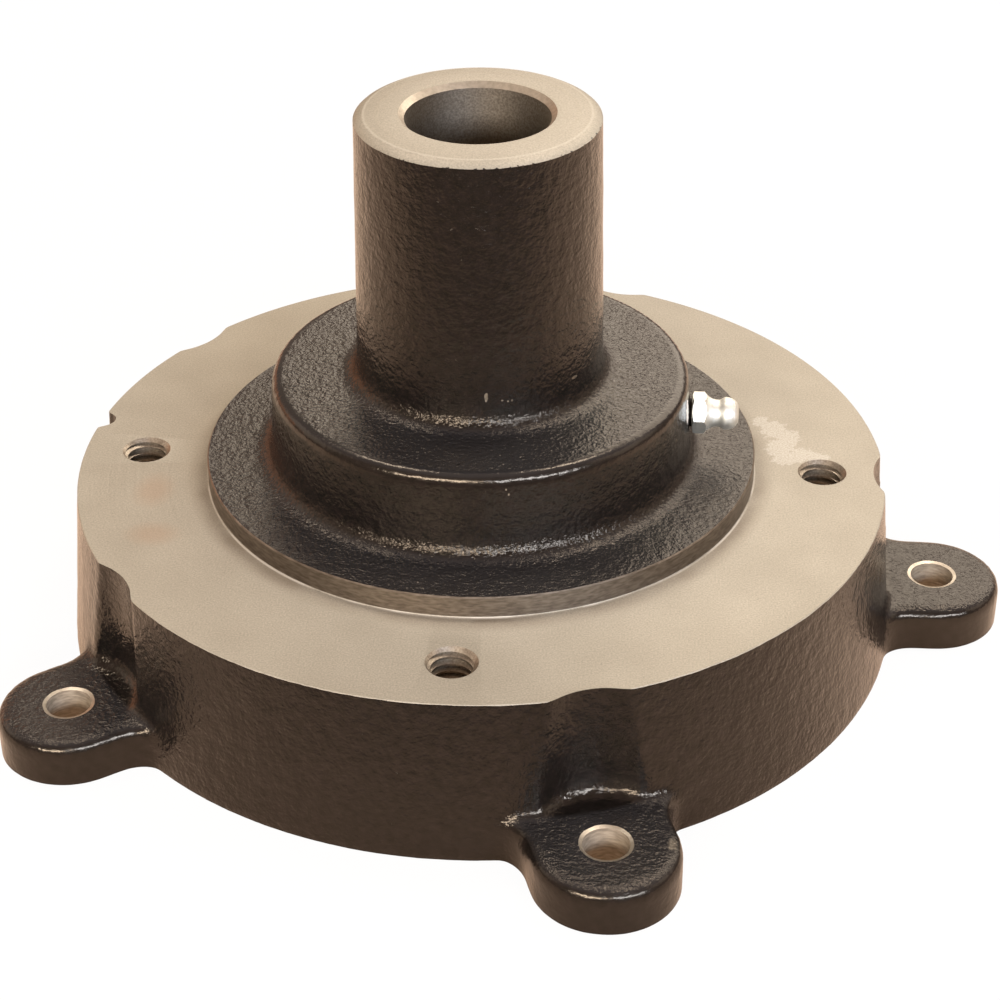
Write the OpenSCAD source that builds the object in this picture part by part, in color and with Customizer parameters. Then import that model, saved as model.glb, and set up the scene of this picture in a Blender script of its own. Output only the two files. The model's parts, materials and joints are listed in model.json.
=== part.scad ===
// Slip clutch drive hub: one sand casting in iron, turned and drilled after painting,
// with a grease nipple screwed into the side of its lower boss.
// Lengths are millimetres. The origin is on the bore's axis, level with the machined
// mounting face. +Z points up the tube and +X points out along the grease nipple.

/* [Drum] */
// Outer diameter of the machined mounting face
face_d = 165.1; // [158:0.1:172]
// Height from the foot of the drum up to the machined face
drum_h = 33.3; // [28:0.1:40]
// Draft of the drum's outer wall, in degrees
drum_draft = 5.6; // [3:0.1:7]
// Chamfer turned on the rim of the machined face
face_chamfer = 0.4; // [0.2:0.1:1]
// Thickness of the web between the machined face and the clutch cup
web_t = 12; // [9:0.5:15]

/* [Clutch cup] */
// Thickness of the drum's wall beside the cup's floor
drum_wall_t = 8.2; // [7:0.1:10]
// Draft of the cup's inside wall, in degrees
cup_draft = 1.5; // [0:0.5:3]
// Fillet between the cup's wall and its floor
cup_fillet = 1.8; // [1:0.2:3]
// Outside diameter of the relieved middle of the cup's floor
relief_d = 84; // [60:1:110]
// Depth of the relieved middle, above the friction face
relief_depth = 1.5; // [0.5:0.1:3]

/* [Pilot] */
// Diameter of the turned pilot
pilot_d = 111.8; // [106:0.1:118]
// Height of the pilot above the machined face
pilot_h = 4.6; // [3:0.1:7]
// Chamfer on the pilot's top edge
pilot_chamfer = 0.3; // [0.1:0.1:0.8]

/* [Lower boss] */
// Diameter of the lower boss just under its rounded rim
boss_d = 84; // [78:0.5:92]
// Height of the boss's top above the machined face
boss_h = 22.2; // [18:0.1:28]
// Draft of the boss's wall, in degrees
boss_draft = 3; // [1:0.5:5]
// Radius of the boss's rounded rim
boss_rim_r = 1.8; // [1:0.1:3]
// Fillet where the boss meets the pilot's top
boss_fillet = 3; // [1.5:0.5:5]

/* [Tube] */
// Outside diameter of the tube at its top
tube_d = 47.3; // [42:0.1:54]
// Height of the tube's end above the machined face
tube_h = 77.3; // [60:0.1:95]
// Draft of the tube's wall, in degrees
tube_draft = 1.2; // [0.5:0.1:2]
// Width of the turned chamfer round the tube's end
tube_chamfer_w = 2; // [1:0.1:3]
// Height of the turned chamfer round the tube's end
tube_chamfer_h = 1.15; // [0.5:0.05:2]
// Fillet where the tube meets the boss's top
tube_fillet = 3; // [1.5:0.5:5]

/* [Bore] */
// Diameter of the bore through the hub
bore_d = 28; // [24:0.1:32]
// Chamfer at both ends of the bore
bore_chamfer = 1.05; // [0.5:0.05:1.5]

/* [Ears] */
// Number of bolt ears round the drum
ear_count = 5; // [3:1:6]
// Diameter of the circle through the ears' bolt holes
ear_circle_d = 188.6; // [186:0.1:194]
// Thickness of an ear
ear_t = 9.2; // [6:0.1:12]
// Radius of an ear's round end, and half its width
ear_end_r = 13.9; // [12:0.1:15]
// Fillet between an ear's flank and the drum's wall
ear_fillet = 7.5; // [3:0.5:9]
// Rounding of an ear's top edge
ear_round = 2.2; // [0.8:0.1:2.8]
// Diameter of the bolt holes in the ears
ear_hole_d = 8.7; // [7:0.1:10.5]
// Chamfer at the top of each ear's bolt hole
ear_hole_chamfer = 1; // [0.3:0.05:1.5]

/* [Scallops] */
// Radius of the scallop above each ear, round the bolt's axis
scallop_r = 14; // [12.5:0.1:15]
// Fillet between a scallop's wall and the ear below it
scallop_fillet = 2.6; // [1.5:0.1:4]

/* [Tapped holes] */
// Number of tapped holes in the machined face
tap_count = 4; // [3:1:6]
// Diameter of the circle through the tapped holes
tap_circle_d = 139.7; // [134:0.1:142]
// Minor diameter of the thread in the tapped holes
tap_minor_d = 7.94; // [6:0.01:8.5]
// Diameter of the countersink at the mouth of each tapped hole
tap_mouth_d = 9.9; // [9:0.1:12]

/* [Rim notch] */
// Angle of the small notch in the rim, from the nipple's axis, in degrees
notch_angle = 171.8; // [166:0.2:178]
// Radius of the notch
notch_r = 2.9; // [2:0.1:4]
// Depth of the notch below the machined face
notch_depth = 5; // [3:0.5:8]

/* [Grease nipple] */
// Height of the nipple's axis above the machined face
nipple_z = 13.2; // [11.5:0.1:15]
// Gap between the boss's wall and the hexagon
nipple_gap = 0.5; // [0.2:0.05:1]
// Width across the flats of the nipple's hexagon
nipple_hex_af = 7.3; // [7:0.01:8]
// Length of the hexagon up to the start of the waist
nipple_hex_t = 2.2; // [1.6:0.05:2.8]
// Distance from the hexagon's foot to the tip of the head
nipple_reach = 9.3; // [8.8:0.1:11]
// Diameter of the nipple's ball-shaped head
nipple_head_d = 6.6; // [6.2:0.05:6.8]
// Diameter of the neck behind the head
nipple_neck_d = 5.4; // [5:0.05:5.6]
// Distance from the hexagon's foot to the neck
nipple_neck_s = 5.2; // [4.8:0.1:5.6]
// Effective diameter of the nipple's thread
nipple_thread_d = 5.76; // [5.5:0.01:6.2]
// Length of the nipple's thread below the boss's wall
nipple_thread_l = 6; // [5:0.1:8]
// Countersink at the mouth of the nipple's hole, on the radius
nipple_countersink = 0.4; // [0.2:0.05:0.6]
// Diameter of the drilled way from the nipple to the bore
grease_way_d = 3.2; // [2:0.1:4.5]

/* [Nipple's check valve] */
// Diameter of the check ball
ball_d = 2.38; // [2.2:0.01:2.6]
// Diameter of the filling hole that the ball closes
mouth_d = 1.6; // [1.3:0.05:1.8]
// Clearance between the ball and its chamber, on the radius
ball_clearance = 0.16; // [0.1:0.02:0.25]
// Length of the chamber behind the ball
chamber_l = 7; // [6:0.1:9]
// Diameter of the spring's wire
wire_d = 0.3; // [0.2:0.02:0.35]
// Number of turns in the spring
spring_turns = 6; // [4:1:9]

/* [Hidden] */
$fn = 96;
eps = 0.01;
// How far a cutter reaches past an open end
reach = 1;

iron_paint = [0.17, 0.14, 0.13];
zinc_plate = [0.80, 0.79, 0.76];
spring_wire = [0.62, 0.62, 0.64];
ball_steel = [0.72, 0.72, 0.74];

// Steps in one quarter of a rounded corner
corner_steps = 6;

face_r = face_d / 2;
foot_z = -drum_h;
foot_r = face_r + drum_h * tan(drum_draft);
floor_z = -web_t;
relief_z = floor_z + relief_depth;
pilot_r = pilot_d / 2;
boss_r = boss_d / 2;
boss_wall_top = boss_h - boss_rim_r;
tube_r = tube_d / 2;
bore_r = bore_d / 2;
ear_circle_r = ear_circle_d / 2;
ear_top = foot_z + ear_t;
tap_circle_r = tap_circle_d / 2;
cup_r = face_r + web_t * tan(drum_draft) - drum_wall_t;

// Radii of the drafted walls at a height
function drum_wall_r(z) = face_r - z * tan(drum_draft);
function boss_wall_r(z) = boss_r + (boss_wall_top - z) * tan(boss_draft);
function tube_wall_r(z) = tube_r + (tube_h - z) * tan(tube_draft);
function cup_wall_r(z) = cup_r + (floor_z - z) * tan(cup_draft);

// Points of an arc about [x, y], from angle a to angle b
function arc(x, y, r, a, b, steps) =
    [for (i = [0:steps]) let (t = a + (b - a) * i / steps) [x + r * cos(t), y + r * sin(t)]];

// Half section of the turned and cast body, from the bore outwards and back
hub_profile = concat(
    [
        [bore_r, relief_z + bore_chamfer],
        [bore_r, tube_h - bore_chamfer],
        [bore_r + bore_chamfer, tube_h],
        [tube_r - tube_chamfer_w, tube_h],
        [tube_wall_r(tube_h - tube_chamfer_h), tube_h - tube_chamfer_h]
    ],
    arc(
        tube_wall_r(boss_h + tube_fillet) + tube_fillet, boss_h + tube_fillet, tube_fillet,
        180 + tube_draft, 270, corner_steps
    ),
    arc(boss_r - boss_rim_r, boss_wall_top, boss_rim_r, 90, boss_draft, corner_steps),
    arc(
        boss_wall_r(pilot_h + boss_fillet) + boss_fillet, pilot_h + boss_fillet, boss_fillet,
        180 + boss_draft, 270, corner_steps
    ),
    [
        [pilot_r - pilot_chamfer, pilot_h],
        [pilot_r, pilot_h - pilot_chamfer],
        [pilot_r, 0],
        [face_r - face_chamfer, 0],
        [drum_wall_r(-face_chamfer), -face_chamfer],
        [foot_r, foot_z],
        [cup_wall_r(foot_z), foot_z]
    ],
    arc(
        cup_wall_r(floor_z - cup_fillet) - cup_fillet, floor_z - cup_fillet, cup_fillet,
        cup_draft, 90, corner_steps
    ),
    [
        [relief_d / 2, floor_z],
        [relief_d / 2 - relief_depth, relief_z],
        [bore_r + bore_chamfer, relief_z]
    ]
);

// Plan of an ear. Each flank meets the wall in a fillet whose centre is found from the
// flank's line and the wall's circle.
wall_at_ear_r = drum_wall_r(ear_top);
fillet_y = ear_end_r + ear_fillet;
fillet_x = sqrt(pow(wall_at_ear_r + ear_fillet, 2) - pow(fillet_y, 2));
wall_touch = [fillet_x, fillet_y] * wall_at_ear_r / (wall_at_ear_r + ear_fillet);
ear_root_r = (cup_wall_r(foot_z) + wall_at_ear_r) / 2;

// Points of an ear's side at x from its foot to its top, with the rounded top edge.
// sign is 1 for the ear itself, and -1 for a cutter that leaves the same edge.
function ear_side(x, sign) = concat(
    [[x, foot_z]],
    [
        for (i = [0:corner_steps])
            let (a = 90 * i / corner_steps)
                [x - sign * ear_round * (1 - cos(a)), ear_top - ear_round * (1 - sin(a))]
    ]
);
function reversed(points) = [for (i = [len(points) - 1:-1:0]) points[i]];
function mirrored(points) = [for (p = reversed(points)) [-p.x, p.y]];

// Fillet that joins one flank of an ear to the wall
module ear_gusset() {
    difference() {
        translate([0, 0, foot_z])
            linear_extrude(ear_t)
                polygon([
                    [fillet_x, fillet_y],
                    [fillet_x, ear_end_r - ear_round],
                    [ear_root_r, 0],
                    wall_touch * ear_root_r / wall_at_ear_r
                ]);
        translate([fillet_x, fillet_y, 0])
            rotate_extrude()
                polygon(concat(
                    [[0, ear_top + eps], [0, foot_z - eps], [ear_fillet, foot_z - eps]],
                    ear_side(ear_fillet, -1),
                    [[ear_fillet + ear_round, ear_top + eps]]
                ));
    }
}

module ear() {
    translate([ear_circle_r, 0, 0])
        rotate([0, 0, -90])
            rotate_extrude(angle = 180)
                polygon(concat([[0, ear_top], [0, foot_z]], ear_side(ear_end_r, 1)));
    translate([ear_root_r, 0, 0])
        rotate([90, 0, 90])
            linear_extrude(ear_circle_r - ear_root_r)
                polygon(concat(ear_side(ear_end_r, 1), mirrored(ear_side(ear_end_r, 1))));
    ear_gusset();
    mirror([0, 1, 0]) ear_gusset();
}

module at_ears() {
    for (i = [0:ear_count - 1])
        rotate([0, 0, 360 / ear_count * i]) children();
}

module at_taps() {
    for (i = [0:tap_count - 1])
        rotate([0, 0, 360 / tap_count * i]) children();
}

// Depth below an ear's top to which the shapes that meet there run on into the ear
ear_sunk = ear_round / 2;

// Cutter that leaves a scallop in the wall with a fillet round its foot
module scallop_cutter() {
    translate([ear_circle_r, 0, 0])
        rotate_extrude()
            polygon(concat(
                [[0, ear_top - ear_sunk], [scallop_r - scallop_fillet, ear_top - ear_sunk]],
                arc(
                    scallop_r - scallop_fillet, ear_top + scallop_fillet, scallop_fillet,
                    270, 360, corner_steps
                ),
                [[scallop_r, face_chamfer], [0, face_chamfer]]
            ));
}

// Cutters of the drilled holes, each turned in one piece with its countersink
module drill(hole_d, mouth_d, foot, top) {
    mouth_t = (mouth_d - hole_d) / 2;
    rotate_extrude()
        polygon([
            [0, foot - eps],
            [hole_d / 2, foot - eps],
            [hole_d / 2, top - mouth_t],
            [mouth_d / 2, top],
            [mouth_d / 2, top + reach],
            [0, top + reach]
        ]);
}

module bolt_holes() {
    at_ears()
        translate([ear_circle_r, 0, 0])
            drill(ear_hole_d, ear_hole_d + 2 * ear_hole_chamfer, foot_z, ear_top);
}

module tapped_holes() {
    at_taps()
        translate([tap_circle_r, 0, 0]) drill(tap_minor_d, tap_mouth_d, floor_z, 0);
}

nipple_wall_x = boss_wall_r(nipple_z);
// Depth of the tapped hole past the nipple's foot
tap_runout = 2;

// Turns a solid that stands on its hexagon's foot along +Z to lie along the nipple's axis
module on_nipple_axis() {
    translate([nipple_wall_x + nipple_gap, 0, nipple_z]) rotate([0, 90, 0]) children();
}

module nipple_hole() {
    thread_r = nipple_thread_d / 2;
    blind_l = nipple_thread_l + tap_runout;
    translate([nipple_wall_x, 0, nipple_z])
        rotate([0, 90, 0])
            rotate_extrude()
                polygon([
                    [0, -blind_l],
                    [thread_r, -blind_l],
                    [thread_r, -nipple_countersink],
                    [thread_r + nipple_countersink + reach, reach],
                    [0, reach]
                ]);
    translate([bore_r - reach, 0, nipple_z])
        rotate([0, 90, 0])
            cylinder(d = grease_way_d, h = nipple_wall_x - blind_l - bore_r + reach + eps);
}

module rim_notch() {
    rotate([0, 0, notch_angle])
        translate([face_r - face_chamfer, 0, -notch_depth])
            cylinder(r = notch_r, h = notch_depth + eps);
}

module hub_casting() {
    color(iron_paint)
        difference() {
            union() {
                difference() {
                    rotate_extrude($fn = 180) polygon(hub_profile);
                    at_ears() scallop_cutter();
                }
                at_ears() ear();
            }
            bolt_holes();
            tapped_holes();
            nipple_hole();
            rim_notch();
        }
}

// The nipple is turned from hexagon bar. Its outline runs from the thread's foot to the
// tip, with zero at the foot of the hexagon: thread, hexagon, waist, neck and head.
thread_foot = -nipple_gap - nipple_thread_l;
thread_chamfer = 0.4;
corner_r = nipple_hex_af / 2 / cos(30);
hex_chamfer = 0.3;
head_r = nipple_head_d / 2;
neck_r = nipple_neck_d / 2;
// The turned outline passes outside the hexagon's corners by this much
hex_clear = 0.3;
bar_r = corner_r + hex_clear;
// Station of the head's widest ring, and the flat land round the filling hole
head_rise = 1.5;
head_s = nipple_neck_s + head_rise;
tip_land = 0.5;
tip_r = mouth_d / 2 + tip_land;
waist_a = 2 * atan((bar_r - neck_r) / (nipple_neck_s - nipple_hex_t));
waist_r = (nipple_neck_s - nipple_hex_t) / sin(waist_a);

nipple_outline = concat(
    [
        [0, thread_foot],
        [nipple_thread_d / 2 - thread_chamfer, thread_foot],
        [nipple_thread_d / 2, thread_foot + thread_chamfer],
        [nipple_thread_d / 2, 0],
        [corner_r - 2 * hex_chamfer, 0],
        [bar_r, hex_chamfer + hex_clear / 2]
    ],
    [
        for (i = [0:corner_steps])
            let (a = waist_a * (1 - i / corner_steps))
                [neck_r + waist_r * (1 - cos(a)), nipple_neck_s - waist_r * sin(a)]
    ],
    [
        for (i = [1:corner_steps])
            let (a = 180 * i / corner_steps)
                [
                    (neck_r + head_r) / 2 - (head_r - neck_r) / 2 * cos(a),
                    nipple_neck_s + (head_s - nipple_neck_s) * i / corner_steps
                ]
    ],
    [
        for (i = [1:corner_steps])
            let (a = 90 * i / corner_steps)
                [
                    tip_r + (head_r - tip_r) * cos(a),
                    head_s + (nipple_reach - head_s) * sin(a)
                ]
    ],
    [[0, nipple_reach]]
);

// The ball rests where a 45 degree seat touches it, just behind the filling hole
ball_r = ball_d / 2;
chamber_r = ball_r + ball_clearance;
mouth_l = 0.5;
seat_top = nipple_reach - mouth_l;
ball_s = seat_top + mouth_d / 2 - ball_r * sqrt(2);
seat_foot = seat_top - (chamber_r - mouth_d / 2);
chamber_foot = seat_top - chamber_l;
grease_entry_d = 1.8;
mouth_chamfer = 0.2;

// The spring's wire runs from the chamber's foot up to the coil that the ball sits in
wire_r = wire_d / 2;
coil_clearance = 0.1;
ball_gap = 0.02;
coil_r = chamber_r - wire_r - coil_clearance;
coil_foot = chamber_foot + wire_r;
coil_top = ball_s - sqrt(pow(ball_r + wire_r + ball_gap, 2) - pow(coil_r, 2));
coil_steps = 16;
wire_sides = 6;

module nipple_cavity() {
    rotate_extrude()
        polygon([
            [0, thread_foot - eps],
            [grease_entry_d / 2, thread_foot - eps],
            [grease_entry_d / 2, chamber_foot],
            [chamber_r, chamber_foot],
            [chamber_r, seat_foot],
            [mouth_d / 2, seat_top],
            [mouth_d / 2, nipple_reach - mouth_chamfer],
            [mouth_d / 2 + mouth_chamfer, nipple_reach + eps],
            [0, nipple_reach + eps]
        ]);
}

module grease_nipple() {
    // Turn of the hexagon, as the nipple stopped when it was screwed in
    stop_a = 27;
    color(zinc_plate)
        on_nipple_axis() difference() {
            intersection() {
                rotate_extrude() polygon(nipple_outline);
                rotate([0, 0, stop_a])
                    translate([0, 0, thread_foot - eps])
                        cylinder(r = corner_r, h = nipple_reach - thread_foot + 2 * eps, $fn = 6);
            }
            nipple_cavity();
        }
}

// Height of the wire's centre line after a share t of its turns, with closed end coils
function coil_z(t) =
    let (turn = t * spring_turns, lead = coil_top - coil_foot)
    coil_foot + (turn < 1 ? turn * wire_d
        : turn > spring_turns - 1 ? lead - (spring_turns - turn) * wire_d
        : wire_d + (turn - 1) / (spring_turns - 2) * (lead - 2 * wire_d));

module coil_spring() {
    last = spring_turns * coil_steps;
    points = [
        for (k = [0:last]) for (i = [0:wire_sides - 1])
            let (
                turn = 360 * k / coil_steps,
                a = 360 * i / wire_sides,
                r = coil_r + wire_r * cos(a)
            )
                [r * cos(turn), r * sin(turn), coil_z(k / last) + wire_r * sin(a)]
    ];
    sides = [
        for (k = [0:last - 1]) for (i = [0:wire_sides - 1])
            let (j = (i + 1) % wire_sides, low = k * wire_sides, high = low + wire_sides)
                [low + i, high + i, high + j, low + j]
    ];
    foot_end = [[for (i = [0:wire_sides - 1]) i]];
    top_end = [[for (i = [wire_sides - 1:-1:0]) last * wire_sides + i]];
    polyhedron(points = points, faces = concat(foot_end, top_end, sides), convexity = 10);
}

module nipple_spring() {
    color(spring_wire) on_nipple_axis() coil_spring();
}

module nipple_ball() {
    color(ball_steel) on_nipple_axis() translate([0, 0, ball_s]) sphere(d = ball_d);
}

hub_casting();
grease_nipple();
nipple_spring();
nipple_ball();
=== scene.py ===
# %% [markdown]
# # A slip clutch drive hub, dressed for its picture
#
# The hub is one iron sand casting. It was dipped in black paint first, and then turned,
# drilled and tapped, so each machined surface is bare metal and each cast one is painted.
# This lesson does the same in the same order: it makes the rough casting, cuts it with
# turned tools, and lets the cuts draw the edge between paint and metal.

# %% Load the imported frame
import json
import math
import time

import bpy
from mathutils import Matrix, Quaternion, Vector


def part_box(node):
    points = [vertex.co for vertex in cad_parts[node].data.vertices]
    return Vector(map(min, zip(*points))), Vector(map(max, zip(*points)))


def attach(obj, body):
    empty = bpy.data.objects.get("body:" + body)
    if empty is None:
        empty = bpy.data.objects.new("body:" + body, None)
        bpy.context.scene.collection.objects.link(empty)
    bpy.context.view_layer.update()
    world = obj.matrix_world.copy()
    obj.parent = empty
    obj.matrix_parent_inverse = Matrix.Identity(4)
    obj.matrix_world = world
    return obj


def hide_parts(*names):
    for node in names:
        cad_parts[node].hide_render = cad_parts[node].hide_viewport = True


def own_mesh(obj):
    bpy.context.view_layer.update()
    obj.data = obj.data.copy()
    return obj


started = time.time()
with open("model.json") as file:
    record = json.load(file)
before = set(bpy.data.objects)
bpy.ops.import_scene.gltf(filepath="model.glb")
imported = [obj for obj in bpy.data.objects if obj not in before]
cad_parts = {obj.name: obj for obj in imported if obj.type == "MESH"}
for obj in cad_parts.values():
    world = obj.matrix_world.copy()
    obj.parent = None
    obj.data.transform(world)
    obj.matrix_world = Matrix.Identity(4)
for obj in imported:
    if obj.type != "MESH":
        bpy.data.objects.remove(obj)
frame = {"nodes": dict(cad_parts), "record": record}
bpy.context.scene.view_settings.view_transform = "Standard"
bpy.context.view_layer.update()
MM = 0.001
print("CAD nodes:", sorted(frame["nodes"]))

# %% [markdown]
# ## Sizes
#
# The main sizes are read from the frame, so that they follow the solids: the lowest point
# of the casting is the drum's foot, and its highest point is the tube's end. The others
# are the real sizes of the machined surfaces, in millimetres, as a drawing gives them.

# %% Sizes that the cutting tools need
mounts = {m["name"]: m for m in frame["record"]["mounts"]}
low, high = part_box("hub_casting")
foot_z = low.z / MM
tube_end_z = high.z / MM
bore_r = mounts["main_bore"]["dims"]["r_mm"]
pilot_r = mounts["pilot"]["dims"]["r_mm"]
tap_circle_r = mounts["face_bolt_circle"]["dims"]["pcd_mm"] / 2
tap_count = mounts["face_bolt_circle"]["dims"]["count"]
ear_circle_r = mounts["ear_bolt_circle"]["dims"]["pcd_mm"] / 2
ear_count = mounts["ear_bolt_circle"]["dims"]["count"]
ear_hole_r = mounts["ear_bolt_circle"]["dims"]["hole_r_mm"]
ear_top_z = foot_z + 9.2
face_r = 82.55
draft = math.radians(5.6)
pilot_h = 4.6
boss_top_z = 22.2
cup_floor_z = -12.0
relief_r = 42.0
relief_z = -10.5
cup_r = 75.5
tube_r = 23.65
flat_r = 21.7
boss_wall_x = 42.35
print("foot", round(foot_z, 2), "tube end", round(tube_end_z, 2), "ear top", round(ear_top_z, 2))

# %% [markdown]
# ## Camera
#
# The picture was taken with a long lens from about half a metre, looking down at the hub
# by 32.5 degrees. The camera leans by half a degree, which is the roll.

# %% Camera
camera_distance = 490.6 * MM
camera_elevation = math.radians(32.54)
camera_azimuth = math.radians(4.65)
camera_roll = math.radians(-0.53)
camera_aim = Vector((0, 0, -9.63 * MM))

away = Vector((
    math.sin(camera_azimuth) * math.cos(camera_elevation),
    -math.cos(camera_azimuth) * math.cos(camera_elevation),
    math.sin(camera_elevation),
))
lens = bpy.data.cameras.new("camera")
lens.sensor_width = 36
lens.lens = 84.72
lens.shift_x = 0.01856
lens.shift_y = 0.00017
lens.clip_start = 0.01
lens.clip_end = 50
camera = bpy.data.objects.new("camera", lens)
bpy.context.scene.collection.objects.link(camera)
camera.rotation_mode = "QUATERNION"
camera.location = camera_aim + away * camera_distance
camera.rotation_quaternion = away.to_track_quat("Z", "Y") @ Quaternion((0, 0, 1), camera_roll)
bpy.context.scene.camera = camera
print("camera at", [round(c / MM, 1) for c in camera.location])

# %% [markdown]
# ## Small helpers
#
# Colours are written as they look on a screen, as sRGB hex values, and Cycles wants them
# linear. One function turns them. One more adds a shader node with its settings and links.

# %% Colour and node helpers
def linear(hex_colour):
    """sRGB hex such as "8a6f52" as the linear colour that a shader socket takes."""
    parts = [int(hex_colour[i:i + 2], 16) / 255 for i in (0, 2, 4)]
    flat = [c / 12.92 if c <= 0.04045 else ((c + 0.055) / 1.055) ** 2.4 for c in parts]
    return (*flat, 1.0)


def add(tree, kind, inputs=None, **settings):
    """Adds a node. inputs maps a socket's name or number to a value, or to a socket to link."""
    node = tree.nodes.new(kind)
    for name, value in settings.items():
        setattr(node, name, value)
    for name, value in (inputs or {}).items():
        if isinstance(value, bpy.types.NodeSocket):
            tree.links.new(value, node.inputs[name])
        else:
            node.inputs[name].default_value = value
    return node


def new_material(name):
    """An empty material with its node tree, and the Object coordinates in millimetres."""
    material = bpy.data.materials.new(name)
    material.use_nodes = True
    tree = material.node_tree
    tree.nodes.clear()
    where = add(tree, "ShaderNodeTexCoord")
    in_mm = add(tree, "ShaderNodeVectorMath", {0: where.outputs["Object"], "Scale": 1 / MM},
                operation="SCALE")
    return material, tree, in_mm.outputs[0]


def ramp(tree, value, stops, interpolation="LINEAR"):
    """A colour ramp on value. stops is a list of (position, sRGB hex)."""
    node = add(tree, "ShaderNodeValToRGB", {0: value})
    node.color_ramp.interpolation = interpolation
    elements = node.color_ramp.elements
    while len(elements) < len(stops):
        elements.new(1.0)
    for element, (position, colour) in zip(elements, stops):
        element.position = position
        element.color = linear(colour)
    return node.outputs["Color"]


def span(tree, value, low_in, high_in, low_out, high_out, kind="LINEAR"):
    """Maps value from one range to another, and clamps it."""
    node = add(tree, "ShaderNodeMapRange",
               {0: value, 1: low_in, 2: high_in, 3: low_out, 4: high_out},
               interpolation_type=kind)
    return node.outputs[0]


def arithmetic(tree, operation, a, b=0.0, c=0.0):
    """One Math node's result."""
    return add(tree, "ShaderNodeMath", {0: a, 1: b, 2: c}, operation=operation).outputs[0]


def spot(tree, at_mm, centre, radii, frets=None, ragged=0.0, edge=0.15):
    """A mask that is 1 in an ellipsoid and 0 outside, all in millimetres. The noise frets
    moves its edge in and out by ragged, which is a share of the radii."""
    off = add(tree, "ShaderNodeVectorMath", {0: at_mm, 1: centre}, operation="SUBTRACT")
    unit = add(tree, "ShaderNodeVectorMath", {0: off.outputs[0], 1: radii}, operation="DIVIDE")
    far = add(tree, "ShaderNodeVectorMath", {0: unit.outputs[0]}, operation="LENGTH")
    place = far.outputs["Value"]
    if frets:
        place = arithmetic(tree, "MULTIPLY_ADD", frets, 2 * ragged, place)
    return span(tree, place, 1 - edge + ragged, 1 + edge + ragged, 1.0, 0.0)


def any_of(tree, masks):
    """The largest of several masks."""
    whole = masks[0]
    for mask in masks[1:]:
        whole = arithmetic(tree, "MAXIMUM", whole, mask)
    return whole


def from_axis(tree, at_mm):
    """The distance from the bore's axis and the height, in millimetres."""
    flat = add(tree, "ShaderNodeVectorMath", {0: at_mm, 1: (1, 1, 0)}, operation="MULTIPLY")
    radius = add(tree, "ShaderNodeVectorMath", {0: flat.outputs[0]}, operation="LENGTH")
    height = add(tree, "ShaderNodeSeparateXYZ", {0: at_mm})
    return radius.outputs["Value"], height.outputs["Z"]


def blend(tree, mask, colour, other):
    """colour where mask is 0 and other where it is 1."""
    node = add(tree, "ShaderNodeMix", {"Factor": mask}, data_type="RGBA")
    for name, value in (("A", colour), ("B", other)):
        socket = [i for i in node.inputs if i.name == name and i.type == "RGBA"][0]
        if isinstance(value, bpy.types.NodeSocket):
            tree.links.new(value, socket)
        else:
            socket.default_value = value
    return [o for o in node.outputs if o.type == "RGBA"][0]

# %% [markdown]
# ## Floor, backdrop and light
#
# The picture is a product shot on white: light comes from everywhere, so the black paint
# shows it only as gloss. The paint's look depends on what it mirrors. The walls mirror the
# white floor, faintly where they face the camera and strongly where they turn away from it,
# which is why the drum is dark in front and pale at both sides. The floor and the world are
# white to the camera and to reflections through Light Path, and not through more light.

# %% Stage
white = (1.0, 1.0, 1.0, 1.0)
lamp_white = "fff2e3"

floor_material, tree, at_mm = new_material("white_table")
path = add(tree, "ShaderNodeLightPath")
table_white = add(tree, "ShaderNodeBsdfDiffuse", {"Color": linear("efe6da")})
table_glow = add(tree, "ShaderNodeEmission", {"Color": white, "Strength": 1.0})
table_warm = add(tree, "ShaderNodeEmission", {"Color": linear("ffcfaa"), "Strength": 1.3})
# The rest of each share still shows the hub's shadow on the table
glossy_share = arithmetic(tree, "MULTIPLY", path.outputs["Is Glossy Ray"], 0.65)
camera_share = arithmetic(tree, "MULTIPLY", path.outputs["Is Camera Ray"], 0.95)
table_seen = add(tree, "ShaderNodeMixShader",
                 {0: glossy_share, 1: table_white.outputs[0], 2: table_warm.outputs[0]})
# In front of the hub the table fades into the dim room. The tube mirrors it farther out than
# the drum's wall does, which is why the tube is the darker one
depth = add(tree, "ShaderNodeSeparateXYZ", {0: at_mm}).outputs["Y"]
far_share = arithmetic(tree, "MULTIPLY", path.outputs["Is Glossy Ray"],
                       span(tree, depth, -215, -40, 0.85, 0.0))
table_dark = add(tree, "ShaderNodeEmission", {"Color": linear("4a3c34"), "Strength": 1.0})
table_faded = add(tree, "ShaderNodeMixShader",
                  {0: far_share, 1: table_seen.outputs[0], 2: table_dark.outputs[0]})
table_mix = add(tree, "ShaderNodeMixShader",
                {0: camera_share, 1: table_faded.outputs[0], 2: table_glow.outputs[0]})
add(tree, "ShaderNodeOutputMaterial", {"Surface": table_mix.outputs[0]})

table_r = 700
bpy.ops.object.select_all(action="DESELECT")
bpy.ops.mesh.primitive_circle_add(
    vertices=128, radius=table_r * MM, fill_type="NGON",
    location=(0, 0, (foot_z - 0.05) * MM))
floor = bpy.context.object
floor.name = "table"
floor.data.materials.append(floor_material)

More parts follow.
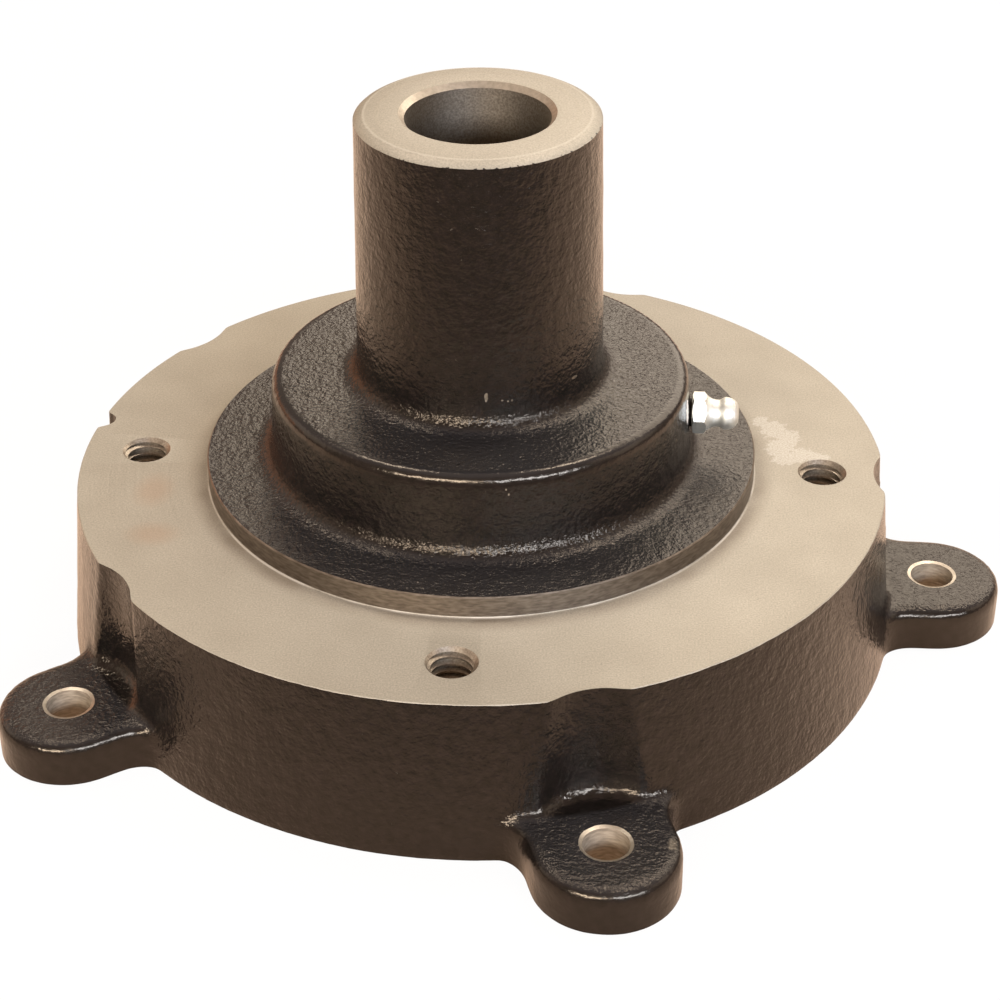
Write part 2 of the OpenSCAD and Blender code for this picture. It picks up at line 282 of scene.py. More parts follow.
world = bpy.data.worlds.new("white_studio")
bpy.context.scene.world = world
world.use_nodes = True
tree = world.node_tree
tree.nodes.clear()
room = add(tree, "ShaderNodeBackground", {"Color": linear("c0a48f"), "Strength": 0.8})
backdrop = add(tree, "ShaderNodeBackground", {"Color": white, "Strength": 1.0})
path = add(tree, "ShaderNodeLightPath")
room_mix = add(tree, "ShaderNodeMixShader",
               {0: path.outputs["Is Camera Ray"], 1: room.outputs[0], 2: backdrop.outputs[0]})
add(tree, "ShaderNodeOutputWorld", {"Surface": room_mix.outputs[0]})


def softbox(name, place, size, radiance, colour=lamp_white, aim=(0, 0, 0)):
    """A rectangular lamp at place, in millimetres, that faces aim. radiance is how bright its
    face looks in a mirror, where 1 is white."""
    lamp = bpy.data.lights.new(name, "AREA")
    lamp.shape = "RECTANGLE"
    lamp.size, lamp.size_y = (s * MM for s in size)
    lamp.energy = radiance * math.pi * lamp.size * lamp.size_y
    lamp.color = linear(colour)[:3]
    holder = bpy.data.objects.new(name, lamp)
    bpy.context.scene.collection.objects.link(holder)
    holder.location = Vector(place) * MM
    holder.rotation_mode = "QUATERNION"
    holder.rotation_quaternion = (Vector(place) - Vector(aim)).to_track_quat("Z", "Y")
    holder.visible_camera = False
    return holder


softbox("back_box", (345, 900, 640), (1300, 700), 3.45, "fff3e2")
softbox("top_left_box", (-310, 250, 880), (185, 185), 20.5)
softbox("top_right_box", (290, 240, 890), (205, 205), 22.0)
softbox("left_box", (-900, 150, 420), (700, 500), 0.8)
softbox("right_box", (900, 0, 480), (600, 500), 1.1)
softbox("window_right", (620, -1000, 480), (850, 235), 31.0, "e6efff")
softbox("window_left", (-380, -1120, 450), (900, 210), 32.5, "fff2e3")
# A brown thing low behind on the left, which only the fillets on that side mirror
softbox("brown_card", (-710, 555, 110), (750, 220), 1.0, "eb8a4e")
print("stage ready")

# %% [markdown]
# ## Painted cast iron
#
# Sand-cast iron in satin black enamel. The sand leaves a skin of shallow dimples a
# millimetre or two wide, and the paint flows into them, so the surface looks like orange
# peel: smooth and glossy up close, and broken up in its highlights. The black is a warm
# one. The large waves are in the mesh, and the peel here is bump.

# %% Painted iron material
painted_iron, tree, at_mm = new_material("satin_black_enamel_on_cast_iron")
wander = add(tree, "ShaderNodeTexNoise", {"Vector": at_mm, "Scale": 1 / 9, "Detail": 3.0})
mottle = add(tree, "ShaderNodeTexNoise", {"Vector": at_mm, "Scale": 1 / 2.6, "Detail": 1.0})
peel = add(tree, "ShaderNodeTexNoise", {"Vector": at_mm, "Scale": 1 / 0.85, "Detail": 2.0})
sand = add(tree, "ShaderNodeTexNoise", {"Vector": at_mm, "Scale": 1 / 0.45, "Detail": 2.0})
frets = add(tree, "ShaderNodeTexNoise", {"Vector": at_mm, "Scale": 1 / 0.7, "Detail": 3.0})
blotch = add(tree, "ShaderNodeTexNoise", {"Vector": at_mm, "Scale": 1 / 1.6, "Detail": 3.0})
wall_colour = ramp(tree, blotch.outputs["Fac"], [(0.3, "0b0a09"), (0.7, "151110")])
# The flat tops and the fillets above them are grainier than the walls and the boss's rounded
# rim, where the paint ran smooth
radius, height = from_axis(tree, at_mm)


def above(level, full, end, inner_r=0.0):
    """A mask from a top's height up to full, fading to end, outside inner_r."""
    band = arithmetic(tree, "MULTIPLY", span(tree, height, level - 0.9, level - 0.3, 0.0, 1.0),
                      span(tree, height, level + full, level + end, 1.0, 0.0))
    return arithmetic(tree, "MULTIPLY", band, span(tree, radius, inner_r - 1, inner_r, 0.0, 1.0))


grainy = any_of(tree, [above(ear_top_z, 2.4, 4.0, 86.0), above(pilot_h, 2.4, 4.0),
                       above(boss_top_z, 2.4, 4.0)])
off_rim = any_of(tree, [span(tree, radius, 39.4, 40.2, 1.0, 0.0),
                        span(tree, height, 17.0, 19.0, 1.0, 0.0)])
grainy = arithmetic(tree, "MULTIPLY", grainy, off_rim)
# Painted sheen: the tops are painted a lighter, greyer black, standing for the light they mirror
top_sheen = any_of(tree, [above(ear_top_z, 0.4, 1.2, 86.0), above(pilot_h, 0.4, 1.2),
                      above(boss_top_z, 0.4, 1.2)])
paint_with_top_sheen = blend(tree, top_sheen, wall_colour, linear("201f20"))
# The boss's rim and the ears' rims are the smoothest places
ear_rim = arithmetic(tree, "MULTIPLY", span(tree, radius, 86.0, 87.0, 0.0, 1.0),
                     span(tree, height, ear_top_z - 0.9, ear_top_z - 0.3, 1.0, 0.0))
boss_rim = arithmetic(tree, "MULTIPLY", span(tree, radius, 39.4, 40.2, 0.0, 1.0),
                      span(tree, height, 19.0, 20.0, 0.0, 1.0))
calm = span(tree, any_of(tree, [ear_rim, boss_rim]), 0.0, 1.0, 1.0, 0.35)
paint_gloss = span(tree, wander.outputs["Fac"], 0.3, 0.7, 0.16, 0.23)
peel_strength = arithmetic(tree, "MULTIPLY", calm, span(tree, grainy, 0.0, 1.0, 0.75, 1.0))
mottle_bump = add(tree, "ShaderNodeBump", {"Height": mottle.outputs["Fac"], "Distance": 0.24 * MM,
                                           "Strength": calm})
peel_depth = span(tree, grainy, 0.0, 1.0, 0.24 * MM, 0.28 * MM)
peel_bump = add(tree, "ShaderNodeBump", {"Height": peel.outputs["Fac"], "Distance": peel_depth,
                                         "Strength": peel_strength,
                                         "Normal": mottle_bump.outputs[0]})
sand_depth = span(tree, grainy, 0.0, 1.0, 0.07 * MM, 0.12 * MM)
sand_bump = add(tree, "ShaderNodeBump", {"Height": sand.outputs["Fac"], "Distance": sand_depth,
                                         "Strength": peel_strength,
                                         "Normal": peel_bump.outputs[0]})

# Where the paint is off: nicks at the tube's foot and a chip on one ear. The pale patch beside
# the nipple is a painted reflection of the nipple in the wall's gloss. Places are in millimetres
# on the hub
nicks = [
    spot(tree, at_mm, (3.05, -24.4, 29.3), (0.3, 0.8, 0.8), frets.outputs["Fac"], 0.9),
    spot(tree, at_mm, (6.1, -23.9, 28.4), (0.2, 0.6, 0.15)),
    spot(tree, at_mm, (7.2, -23.6, 28.1), (0.17, 0.6, 0.17)),
    spot(tree, at_mm, (7.95, -23.3, 28.2), (0.15, 0.6, 0.2)),
    spot(tree, at_mm, (19.6, -15.0, 29.0), (0.8, 0.7, 0.26), frets.outputs["Fac"], 0.5),
    spot(tree, at_mm, (8.0, -41.4, 19.3), (0.15, 0.6, 0.2)),
    spot(tree, at_mm, (8.5, -41.3, 18.2), (0.17, 0.6, 0.25)),
    arithmetic(tree, "MULTIPLY", 0.4, spot(tree, at_mm, (40.9, -89.0, -24.7), (0.8, 1.6, 1.0),
                                           frets.outputs["Fac"], 0.9, 0.3)),
]
# Painted reflection: a near-white patch on the wall beside the nipple
nipple_reflection = spot(tree, at_mm, (42.0, -5.3, 16.3), (1.2, 1.25, 2.6), frets.outputs["Fac"], 0.8)
nicked = any_of(tree, nicks)
nicked_and_reflection_colour = blend(tree, nipple_reflection, blend(tree, nicked, paint_with_top_sheen, linear("8f8576")),
                    linear("dedad2"))
nicked_and_reflection_gloss = span(tree, any_of(tree, [nicked, nipple_reflection]), 0.0, 1.0, paint_gloss, 0.5)
shader = add(tree, "ShaderNodeBsdfPrincipled",
             {"Base Color": nicked_and_reflection_colour, "Metallic": nicked, "Roughness": nicked_and_reflection_gloss,
              "IOR": 1.5, "Specular IOR Level": 0.42, "Specular Tint": linear("fff0dc"),
              "Normal": sand_bump.outputs[0]})
add(tree, "ShaderNodeOutputMaterial", {"Surface": shader.outputs[0]})

# %% [markdown]
# ## Turned cast iron
#
# Grey iron cut in a lathe is a matt, warm grey metal. The tool's lines are a few tenths of
# a millimetre apart, too fine to see one by one here, and they only spread the reflection
# and give a faint silky grain. Dark specks are graphite and small pores.

# %% Turned iron material
turned_iron, tree, at_mm = new_material("turned_grey_iron")
radius, height = from_axis(tree, at_mm)
# Noise that runs along rings: its place is the radius and the height, so it has no angle
ring_place = add(tree, "ShaderNodeCombineXYZ", {"X": radius, "Y": 0.0, "Z": height})
rings = add(tree, "ShaderNodeTexNoise", {"Vector": ring_place.outputs[0], "Scale": 1 / 0.7,
                                         "Detail": 3.0})
clouds = add(tree, "ShaderNodeTexNoise", {"Vector": at_mm, "Scale": 1 / 14, "Detail": 4.0})
grain = add(tree, "ShaderNodeTexNoise", {"Vector": at_mm, "Scale": 1 / 0.35, "Detail": 2.0})
pores = add(tree, "ShaderNodeTexVoronoi", {"Vector": at_mm, "Scale": 1 / 2.6})
bare_colour = ramp(tree, clouds.outputs["Fac"], [(0.3, "908a7d"), (0.7, "989285")])
speck = span(tree, pores.outputs["Distance"], 0.03, 0.09, 0.78, 1.0)
grain_shade = span(tree, grain.outputs["Fac"], 0.3, 0.7, 0.82, 1.15)
ring_shade = span(tree, rings.outputs["Fac"], 0.3, 0.7, 0.96, 1.04)
# Painted shade and dirt darken the corner round the pilot, more in some places
corner = span(tree, radius, pilot_r + 0.7, pilot_r + 5.0, 1.0, 0.0, "SMOOTHSTEP")
on_face = span(tree, height, 0.2, 0.5, 1.0, 0.0)
patchy = span(tree, clouds.outputs["Fac"], 0.35, 0.65, 0.1, 0.6)
corner_shade_and_dirt = arithmetic(tree, "MULTIPLY", arithmetic(tree, "MULTIPLY", corner, on_face), patchy)
# The patch between the pilot and one tapped hole where a rag has wiped the face pale
frets = add(tree, "ShaderNodeTexNoise", {"Vector": at_mm, "Scale": 1 / 1.5, "Detail": 5.0,
                                         "Roughness": 0.65})
wipes = [((57.9, 19.4), (1.7, 2.2)), ((60.4, 16.4), (2.7, 3.6)), ((63.2, 13.2), (2.6, 3.2)),
         ((61.8, 9.0), (2.9, 4.0)), ((62.3, 5.0), (2.6, 2.6)), ((66.3, 6.4), (2.7, 2.7)),
         ((69.2, 5.4), (2.5, 2.2))]
wiped = any_of(tree, [
    spot(tree, at_mm, (*centre, 0), (*radii, 9), frets.outputs["Fac"], 1.1, 0.1)
    for centre, radii in wipes])
# Two faint rusty finger marks
marks = any_of(tree, [
    spot(tree, at_mm, (-65.3, -15.5, 0), (3.2, 5.0, 9), frets.outputs["Fac"], 0.3, 0.5),
    spot(tree, at_mm, (-62.5, -31.5, 0), (4.2, 3.2, 9), frets.outputs["Fac"], 0.3, 0.5),
])
rusty = arithmetic(tree, "MULTIPLY", marks, 0.35)
shade = arithmetic(tree, "MULTIPLY", arithmetic(tree, "MULTIPLY", speck, grain_shade), ring_shade)
bare_shaded = add(tree, "ShaderNodeVectorMath", {0: bare_colour, "Scale": shade},
                  operation="SCALE")
corner_shaded = blend(tree, corner_shade_and_dirt, bare_shaded.outputs[0], linear("564737"))
rusted = blend(tree, rusty, corner_shaded, linear("927760"))
wiped_share = arithmetic(tree, "MULTIPLY", wiped,
                         span(tree, grain.outputs["Fac"], 0.35, 0.6, 0.2, 0.48))
faded = blend(tree, wiped_share, rusted, linear("bab7b0"))
# Painted highlights: thin bright lines at the pilot's root and round the flat of the tube's end
dashes = span(tree, clouds.outputs["Fac"], 0.42, 0.58, 0.0, 0.9)
root_highlight = arithmetic(tree, "MULTIPLY", arithmetic(tree, "MULTIPLY", on_face, dashes),
                       span(tree, radius, pilot_r + 0.25, pilot_r + 0.45, 1.0, 0.0))
off_flat = arithmetic(tree, "ABSOLUTE", arithmetic(tree, "SUBTRACT", radius, flat_r))
flat_rim_highlight = arithmetic(tree, "MULTIPLY", span(tree, off_flat, 0.1, 0.35, 1.0, 0.0),
                       span(tree, height, tube_end_z - 0.6, tube_end_z - 0.4, 0.0, 1.0))
highlight_share = any_of(tree, [arithmetic(tree, "MULTIPLY", root_highlight, 0.38),
                           arithmetic(tree, "MULTIPLY", flat_rim_highlight, 0.12)])
highlighted = blend(tree, highlight_share, faded, linear("e4dfd4"))
# Paint that the tool left in the low places at the edge of the tube's round-over
nibble = add(tree, "ShaderNodeTexNoise", {"Vector": at_mm, "Scale": 1 / 0.8, "Detail": 2.0})
left_z = span(tree, nibble.outputs["Fac"], 0.4, 0.7, tube_end_z - 1.5, tube_end_z - 0.9)
left_over = arithmetic(tree, "MULTIPLY", arithmetic(tree, "LESS_THAN", height, left_z),
                       arithmetic(tree, "GREATER_THAN", height, tube_end_z - 4))
left_over = arithmetic(tree, "MULTIPLY", left_over,
                       arithmetic(tree, "GREATER_THAN", radius, flat_r))
edged = blend(tree, left_over, highlighted, linear("1d1a19"))
bare_gloss = span(tree, rings.outputs["Fac"], 0.3, 0.7, 0.48, 0.60)
cut_bump = add(tree, "ShaderNodeBump", {"Height": rings.outputs["Fac"], "Distance": 0.02 * MM,
                                        "Strength": 1.0})
shader = add(tree, "ShaderNodeBsdfPrincipled",
             {"Base Color": edged, "Metallic": 0.4, "Roughness": bare_gloss,
              "Normal": cut_bump.outputs[0]})
add(tree, "ShaderNodeOutputMaterial", {"Surface": shader.outputs[0]})

# %% [markdown]
# ## Bored and drilled cast iron
#
# The bore is reamed: smoother than the face and dark, since it mostly mirrors its own far
# wall. A drill leaves rings down the hole's wall, a third of a millimetre or so apart, and
# the walls are a shade browner than the turned faces.

# %% Materials for the other cuts
def cut_iron(name, wavelength, dark, pale, metallic, depth, along=(1, 1, 1)):
    """Grey iron cut by one kind of tool. The tool's marks are wavelength apart and depth deep,
    in millimetres, and along stretches them: a share under 1 makes them longer that way."""
    material, tree, at_mm = new_material(name)
    stretched = add(tree, "ShaderNodeVectorMath", {0: at_mm, 1: along}, operation="MULTIPLY")
    tool_marks = add(tree, "ShaderNodeTexNoise", {"Vector": stretched.outputs[0],
                                                  "Scale": 1 / wavelength, "Detail": 2.5})
    colour = ramp(tree, tool_marks.outputs["Fac"], [(0.35, dark), (0.65, pale)])
    bump = add(tree, "ShaderNodeBump", {"Height": tool_marks.outputs["Fac"],
                                        "Distance": depth * MM, "Strength": 1.0})
    shader = add(tree, "ShaderNodeBsdfPrincipled",
                 {"Base Color": colour, "Metallic": metallic, "Roughness": 0.42,
                  "Normal": bump.outputs[0]})
    add(tree, "ShaderNodeOutputMaterial", {"Surface": shader.outputs[0]})
    return material


rings_round = (0.25, 0.25, 1.0)
bored_iron = cut_iron("reamed_grey_iron", 0.4, "8d8377", "aba294", 1.0, 0.03)
pilot_iron = cut_iron("turned_iron_edge", 0.5, "6a6157", "857b70", 1.0, 0.03, rings_round)
chamfer_iron = cut_iron("chamfered_grey_iron", 0.8, "b0a89b", "c0b8ab", 1.0, 0.02)
drilled_iron = cut_iron("drilled_grey_iron", 0.5, "857a6b", "a89c8b", 0.4, 0.05, rings_round)

# %% [markdown]
# ## The rough casting
#
# A casting has no sharp edge. The quick way to that in Blender is to stack plain solids
# without care for their seams, turn the heap into one skin with a voxel Remesh, and relax
# that skin with Smooth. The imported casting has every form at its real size, so a copy of it
# is the core of the heap. A foundry leaves extra metal where the lathe will cut, and so do
# the next cells: on the face, round the pilot, on the tube's end, on the cup's floor, and
# in every hole, which in the sand casting wasn't there yet.

# %% Helpers for solids
def only(piece):
    """Selects piece alone and makes it the active one."""
    bpy.ops.object.select_all(action="DESELECT")
    piece.select_set(True)
    bpy.context.view_layer.objects.active = piece


def edit_all(piece):
    """Opens piece for editing with all of it selected."""
    only(piece)
    bpy.ops.object.mode_set(mode="EDIT")
    bpy.ops.mesh.select_all(action="SELECT")


def use_modifier(piece, kind, **settings):
    """Adds one modifier to piece, sets it and applies it."""
    only(piece)
    modifier = piece.modifiers.new(kind.lower(), kind)
    for name, value in settings.items():
        setattr(modifier, name, value)
    bpy.ops.object.modifier_apply(modifier=modifier.name)


def plug(radius, foot, top, x=0.0, y=0.0, sides=48):
    """A plain round solid from one height to another, in millimetres."""
    bpy.ops.object.select_all(action="DESELECT")
    bpy.ops.mesh.primitive_cylinder_add(
        vertices=sides, radius=radius * MM, depth=(top - foot) * MM,
        location=(x * MM, y * MM, (foot + top) / 2 * MM))
    piece = bpy.context.object
    bpy.ops.object.transform_apply(location=True, rotation=True, scale=True)
    return piece


def turned(name, outline, foot=(0, 0, 0), axis=(0, 0, 1), steps=160):
    """A solid turned about an axis through foot. outline is a list of (radius, station) in
    millimetres. It starts and ends on the axis, or ends where it starts."""
    along = Vector(axis)
    side = Vector((0, 1, 0)) if along.x else Vector((1, 0, 0))
    start = Vector(foot)
    points = [(start + along * station + side * radius) * MM for radius, station in outline]
    bpy.ops.object.select_all(action="DESELECT")
    bpy.ops.mesh.primitive_plane_add(size=MM)
    piece = bpy.context.object
    piece.name = name
    edit_all(piece)
    bpy.ops.mesh.merge(type="CENTER")
    bpy.ops.transform.translate(value=points[0])
    for here, there in zip(points, points[1:]):
        bpy.ops.mesh.extrude_vertices_move(TRANSFORM_OT_translate={"value": there - here})
    bpy.ops.mesh.select_all(action="SELECT")
    bpy.ops.mesh.spin(steps=steps, angle=2 * math.pi, use_auto_merge=True,
                      center=start * MM, axis=along)
    bpy.ops.mesh.select_all(action="SELECT")
    bpy.ops.mesh.remove_doubles(threshold=0.002 * MM)
    bpy.ops.mesh.normals_make_consistent(inside=False)
    bpy.ops.object.mode_set(mode="OBJECT")
    return piece


def cut(piece, tool, material=None):
    """Cuts tool out of piece. The cut's own faces get the tool's material."""
    if material:
        tool.data.materials.clear()
        tool.data.materials.append(material)
    use_modifier(piece, "BOOLEAN", object=tool, operation="DIFFERENCE", solver="MANIFOLD",
                 material_mode="TRANSFER")
    bpy.data.objects.remove(tool)


def around(count, radius):
    """The places, in millimetres, of count holes on a circle."""
    turn = 2 * math.pi / count
    return [(radius * math.cos(i * turn), radius * math.sin(i * turn)) for i in range(count)]


def wall_r(height):
    """Radius of the drum's drafted wall at a height."""
    return face_r - height * math.tan(draft)

# %% Core and machining stock
core = bpy.data.objects.new("hub_casting_core", frame["nodes"]["hub_casting"].data.copy())
bpy.context.scene.collection.objects.link(core)
edit_all(core)
bpy.ops.mesh.remove_doubles(threshold=0.002 * MM)
bpy.ops.object.mode_set(mode="OBJECT")

scallop_r = 14.0
notch_r = 2.9
notch_angle = math.radians(171.8)
face_stock = turned("face_stock", [(44, -2), (wall_r(-2), -2), (wall_r(1.6), 1.6), (44, 1.6),
                                   (44, -2)])
for x, y in around(ear_count, ear_circle_r):
    cut(face_stock, plug(scallop_r, -3, 3, x, y, sides=96))
notch_place = (face_r * math.cos(notch_angle), face_r * math.sin(notch_angle))
cut(face_stock, plug(notch_r, -3, 3, *notch_place))

for face in core.data.polygons:
    face.select = all(abs(core.data.vertices[i].co.z / MM - foot_z) < 0.01 for i in face.vertices)
only(core)
bpy.ops.object.mode_set(mode="EDIT")
bpy.ops.mesh.extrude_region_move(TRANSFORM_OT_translate={"value": (0, 0, -3 * MM)})
bpy.ops.object.mode_set(mode="OBJECT")

stock = [
    face_stock,
    plug(57.4, -1, pilot_h, sides=128),
    turned("tube_stock", [(0, 60), (tube_r + 0.35, 60), (tube_r - 0.05, 79.6), (0, 79.6)]),
    plug(bore_r + 1, relief_z, 70),
    plug(cup_r - 1.0, cup_floor_z - 0.7, relief_z + 1, sides=128),
]
stock += [plug(5.6, cup_floor_z, -0.5, x, y) for x, y in around(tap_count, tap_circle_r)]
stock += [plug(5.6, foot_z, ear_top_z, x, y) for x, y in around(ear_count, ear_circle_r)]
nipple_low, nipple_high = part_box("grease_nipple")
nipple_z = (nipple_low.z + nipple_high.z) / 2 / MM
stock.append(turned("nipple_stock", [(0, 13), (3.8, 13), (3.8, boss_wall_x), (0, boss_wall_x)],
                    foot=(0, 0, nipple_z), axis=(1, 0, 0), steps=48))
only(core)
for piece in stock:
    piece.select_set(True)
bpy.ops.object.join()
core.data.materials.clear()
core.data.materials.append(painted_iron)
print("heap:", len(core.data.polygons), "faces")

# %% [markdown]
# ## One skin over the heap
#
# The voxel is 0.92 mm, about four pixels in the picture, which keeps the ears and scallops
# true and the piece under its limit of triangles. Smooth rounds each edge by about a
# millimetre, as cast edges are. Two Displace modifiers with cloud textures then give the
# skin the waves of rammed sand. They read the mesh's own coordinates, so the result is the
# same each time.

# %% Remesh, relax and roughen
voxel = 0.92
use_modifier(core, "REMESH", mode="VOXEL", voxel_size=voxel * MM, adaptivity=0.0)
use_modifier(core, "SMOOTH", factor=0.5, iterations=4)


def sand_waves(piece, name, wavelength, height, depth):
    """Pushes the skin in and out by a cloud texture, in millimetres."""
    clouds = bpy.data.textures.new(name, "CLOUDS")
    clouds.noise_scale = wavelength * MM
    clouds.noise_depth = depth
    use_modifier(piece, "DISPLACE", texture=clouds, texture_coords="LOCAL",
                 strength=height * MM, mid_level=0.5)


sand_waves(core, "mould_waves", 8.0, 0.09, 1)
sand_waves(core, "sand_dimples", 2.4, 0.07, 1)
casting = core
casting.name = "cast_hub"
print("skin:", len(casting.data.polygons), "faces,", round(time.time() - started, 1), "s")

# %% [markdown]
# ## Turning and drilling
#
# Each cut is a Boolean with a tool that is turned from an outline, drawn point by point and
# spun round its axis. The tool carries the bare metal as its material, and the modifier
# transfers it to the new faces. So the paint ends just where the rough skin meets the true
# surface, and its edge is as ragged as on the real hub.

# %% Foot, face, pilot, tube end, bore and clutch cup
sky = tube_end_z + 6
cut(casting, plug(120, foot_z - 6, foot_z, sides=64), painted_iron)
face_chamfer = 0.16
rim = face_r - face_chamfer
cut(casting, turned("pilot_tool", [
    (pilot_r, 0.3), (pilot_r + 2, 0.3), (pilot_r + 2, 9), (pilot_r - 0.25, 9),
    (pilot_r - 0.25, pilot_h), (pilot_r, pilot_h - 0.25), (pilot_r, 0.3)], steps=240),
    pilot_iron)
cut(casting, turned("facing_tool", [
    (pilot_r + 0.35, 0), (rim, 0), (rim + 2.5, -2.5), (96, -2.5), (96, 9), (pilot_r + 0.02, 9),
    (pilot_r + 0.02, 0.35), (pilot_r + 0.1, 0.1), (pilot_r + 0.35, 0)], steps=240),
    turned_iron)

paint_edge = (tube_r + 0.05, tube_end_z - 1.15)
tube_end = [(0, tube_end_z), (flat_r, tube_end_z), (22.5, tube_end_z - 0.3),
            (23.2, tube_end_z - 0.68), paint_edge, (paint_edge[0] + 2.5, paint_edge[1] - 2.8),
            (32, paint_edge[1] - 2.8), (32, sky), (0, sky)]
cut(casting, turned("tube_end_tool", tube_end, steps=160), turned_iron)

bore_chamfer = 1.05
bore_line = [(0, relief_z - 5), (bore_r + bore_chamfer + 5, relief_z - 5),
             (bore_r, relief_z + bore_chamfer), (bore_r, tube_end_z - bore_chamfer),
             (bore_r + bore_chamfer + 3, tube_end_z + 3), (0, tube_end_z + 3)]
cut(casting, turned("boring_tool", bore_line, steps=128), chamfer_iron)
cut(casting, plug(bore_r + 0.02, relief_z - 0.5 + bore_chamfer, tube_end_z - bore_chamfer,
                  sides=128), bored_iron)

friction_r = cup_r - 1.8
cut(casting, turned("cup_tool", [
    (0, relief_z), (relief_r - 1.5, relief_z), (relief_r, cup_floor_z),
    (friction_r, cup_floor_z), (friction_r, foot_z - 3), (0, foot_z - 3)], steps=160),
    turned_iron)
print("turned:", len(casting.data.polygons), "faces,", round(time.time() - started, 1), "s")

# %% [markdown]
# ## Tapped holes
#
# The four holes take 3/8-16 bolts: 9.525 mm over the crests and sixteen threads to the
# inch. The tap is one V-shaped step of outline that a Screw modifier turns and lifts by one
# pitch a turn. Both ends are then cut flat with Bisect, which closes the tool.

# %% Countersink and tap
thread_major_r = 9.525 / 2
thread_minor_r = 7.94 / 2
pitch = 25.4 / 16


def tap_tool(x, y):
    """A threaded rod a little longer than the web, made round the axis and moved to x, y."""
    crest, root = pitch / 8, pitch / 4
    flank = (pitch - crest - root) / 2
    outline = [(thread_minor_r, 0), (thread_minor_r, root), (thread_major_r, root + flank),
               (thread_major_r, root + flank + crest), (thread_minor_r, pitch)]
    points = [Vector((radius, 0, station - 20)) * MM for radius, station in outline]
    bpy.ops.object.select_all(action="DESELECT")
    bpy.ops.mesh.primitive_plane_add(size=MM)
    piece = bpy.context.object
    edit_all(piece)
    bpy.ops.mesh.merge(type="CENTER")
    bpy.ops.transform.translate(value=points[0])
    for here, there in zip(points, points[1:]):
        bpy.ops.mesh.extrude_vertices_move(TRANSFORM_OT_translate={"value": there - here})
    bpy.ops.object.mode_set(mode="OBJECT")
    use_modifier(piece, "SCREW", axis="Z", angle=2 * math.pi, steps=32, render_steps=32,
                 iterations=16, screw_offset=pitch * MM, use_merge_vertices=True,
                 merge_threshold=0.002 * MM)
    edit_all(piece)
    bpy.ops.mesh.remove_doubles(threshold=0.002 * MM)
    bpy.ops.mesh.bisect(plane_co=(0, 0, (cup_floor_z - 1) * MM), plane_no=(0, 0, 1),
                        use_fill=True, clear_inner=True)
    bpy.ops.mesh.select_all(action="SELECT")
    bpy.ops.mesh.bisect(plane_co=(0, 0, 1 * MM), plane_no=(0, 0, 1), use_fill=True,
                        clear_outer=True)
    bpy.ops.mesh.select_all(action="SELECT")
    bpy.ops.mesh.normals_make_consistent(inside=False)
    bpy.ops.transform.translate(value=(x * MM, y * MM, 0))
    bpy.ops.object.mode_set(mode="OBJECT")
    return piece


mouth_r = 4.95
for x, y in around(tap_count, tap_circle_r):
    sink = [(0, -mouth_r), (mouth_r + 1, 1), (0, 1)]
    cut(casting, turned("countersink", sink, foot=(x, y, 0), steps=48), bored_iron)
    cut(casting, tap_tool(x, y), bored_iron)

# %% Ear holes and the nipple's hole
ear_sink_r = 0.8
ear_sink_z = 0.28
for x, y in around(ear_count, ear_circle_r):
    drill = [(0, foot_z - 2), (ear_hole_r, foot_z - 2), (ear_hole_r, ear_top_z + 2),
             (0, ear_top_z + 2)]
    sink = [(0, ear_top_z - ear_sink_z), (ear_hole_r - 0.1, ear_top_z - ear_sink_z),
            (ear_hole_r + ear_sink_r * 4, ear_top_z + ear_sink_z * 3), (0, ear_top_z + 2)]
    cut(casting, turned("ear_drill", drill, foot=(x, y, 0), steps=64), drilled_iron)
    cut(casting, turned("ear_sink", sink, foot=(x, y, 0), steps=64), chamfer_iron)
nipple_thread_r = 2.9
cut(casting, turned("nipple_drill", [(0, 34), (nipple_thread_r, 34), (nipple_thread_r, 42),
                                     (nipple_thread_r + 3, 45), (0, 45)],
                    foot=(0, 0, nipple_z), axis=(1, 0, 0), steps=48), drilled_iron)
cut(casting, turned("grease_way", [(0, bore_r - 2), (1.6, bore_r - 2), (1.6, 36), (0, 36)],
                    foot=(0, 0, nipple_z), axis=(1, 0, 0), steps=32), drilled_iron)

# Every cut has a crisp edge, however flat its angle, so the border of each material's faces
# is marked sharp
edit_all(casting)
bpy.ops.mesh.select_mode(type="FACE")
for index in range(len(casting.material_slots)):
    bpy.ops.mesh.select_all(action="DESELECT")
    casting.active_material_index = index
    bpy.ops.object.material_slot_select()
    bpy.ops.mesh.region_to_loop()
    bpy.ops.mesh.mark_sharp()
    bpy.ops.mesh.select_mode(type="FACE")
bpy.ops.object.mode_set(mode="OBJECT")
bpy.ops.object.shade_smooth_by_angle(angle=math.radians(40))
triangles = sum(len(p.vertices) - 2 for p in casting.data.polygons)
print("hub:", triangles, "triangles,", round(time.time() - started, 1), "s")

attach(casting, "hub")
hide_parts("hub_casting")

# %% [markdown]
# ## Grease nipple, spring and ball
#
# The nipple is turned from hexagon steel and zinc plated: a bright, slightly bluish metal
# with a soft gloss. The spring is plain drawn wire and the ball is polished.

# %% Bright metals
zinc_plate, tree, at_mm = new_material("bright_zinc_plate")
haze = add(tree, "ShaderNodeTexNoise", {"Vector": at_mm, "Scale": 1 / 1.2, "Detail": 3.0})
zinc_colour = ramp(tree, haze.outputs["Fac"], [(0.3, "cfd0ca"), (0.7, "dddfd9")])
zinc_gloss = span(tree, haze.outputs["Fac"], 0.3, 0.7, 0.50, 0.56)
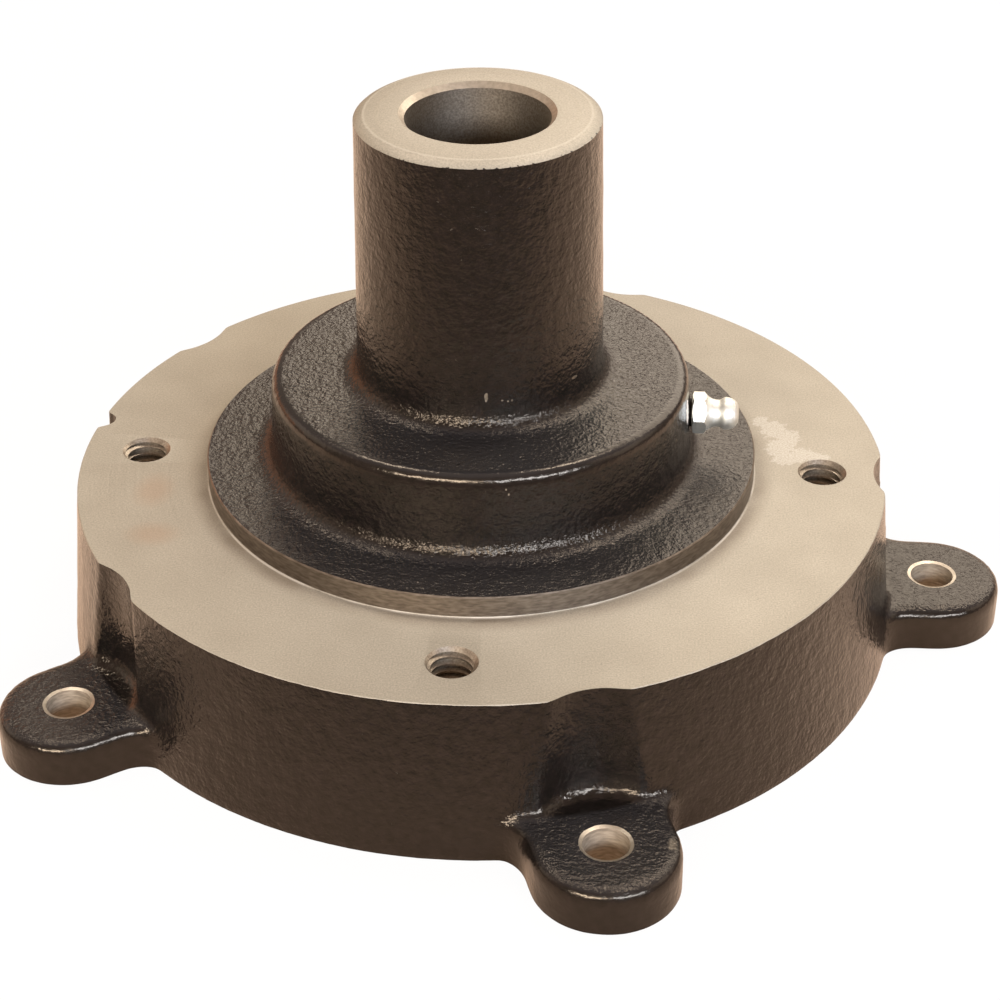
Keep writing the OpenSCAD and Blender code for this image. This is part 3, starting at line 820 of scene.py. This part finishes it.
# Painted shadow: the thread in the gap between the hexagon and the boss is painted black
out_x = add(tree, "ShaderNodeSeparateXYZ", {0: at_mm}).outputs["X"]
gap_shadow = span(tree, out_x, boss_wall_x + 0.42, boss_wall_x + 0.46, 1.0, 0.0)
zinc_with_gap_shadow = blend(tree, gap_shadow, zinc_colour, linear("14110f"))
shader = add(tree, "ShaderNodeBsdfPrincipled",
             {"Base Color": zinc_with_gap_shadow, "Metallic": 1.0, "Roughness": zinc_gloss})
add(tree, "ShaderNodeOutputMaterial", {"Surface": shader.outputs[0]})

spring_steel, tree, at_mm = new_material("drawn_spring_wire")
draw_lines = add(tree, "ShaderNodeTexNoise", {"Vector": at_mm, "Scale": 1 / 0.2})
wire_colour = ramp(tree, draw_lines.outputs["Fac"], [(0.3, "8f8f92"), (0.7, "a9a9ac")])
shader = add(tree, "ShaderNodeBsdfPrincipled",
             {"Base Color": wire_colour, "Metallic": 1.0, "Roughness": 0.3})
add(tree, "ShaderNodeOutputMaterial", {"Surface": shader.outputs[0]})

ball_steel, tree, at_mm = new_material("polished_ball_steel")
swirl = add(tree, "ShaderNodeTexNoise", {"Vector": at_mm, "Scale": 1 / 0.4})
ball_gloss = span(tree, swirl.outputs["Fac"], 0.3, 0.7, 0.10, 0.16)
shader = add(tree, "ShaderNodeBsdfPrincipled",
             {"Base Color": linear("c9c9cc"), "Metallic": 1.0, "Roughness": ball_gloss})
add(tree, "ShaderNodeOutputMaterial", {"Surface": shader.outputs[0]})

for node, finish in {"grease_nipple": zinc_plate, "nipple_ball": ball_steel}.items():
    slots = frame["nodes"][node].material_slots
    if slots:
        for slot in slots:
            slot.material = finish
    else:
        frame["nodes"][node].data.materials.append(finish)

# %% [markdown]
# ## The spring
#
# Grease pushes the ball back by less than a millimetre, and the spring behind it is pressed
# together. Here the spring keeps its length from the frame: a copy of it is welded, shaded
# smooth and given the drawn wire's finish.

# %% Spring
spring = bpy.data.objects.new("coil_spring", frame["nodes"]["nipple_spring"].data.copy())
bpy.context.scene.collection.objects.link(spring)
edit_all(spring)
bpy.ops.mesh.remove_doubles(threshold=0.0005 * MM)
bpy.ops.object.mode_set(mode="OBJECT")
bpy.ops.object.shade_smooth_by_angle(angle=math.radians(40))
spring.data.materials.clear()
spring.data.materials.append(spring_steel)
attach(spring, "hub")
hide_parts("nipple_spring")
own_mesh(spring)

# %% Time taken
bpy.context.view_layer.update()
print("all made in", round(time.time() - started, 1), "s")
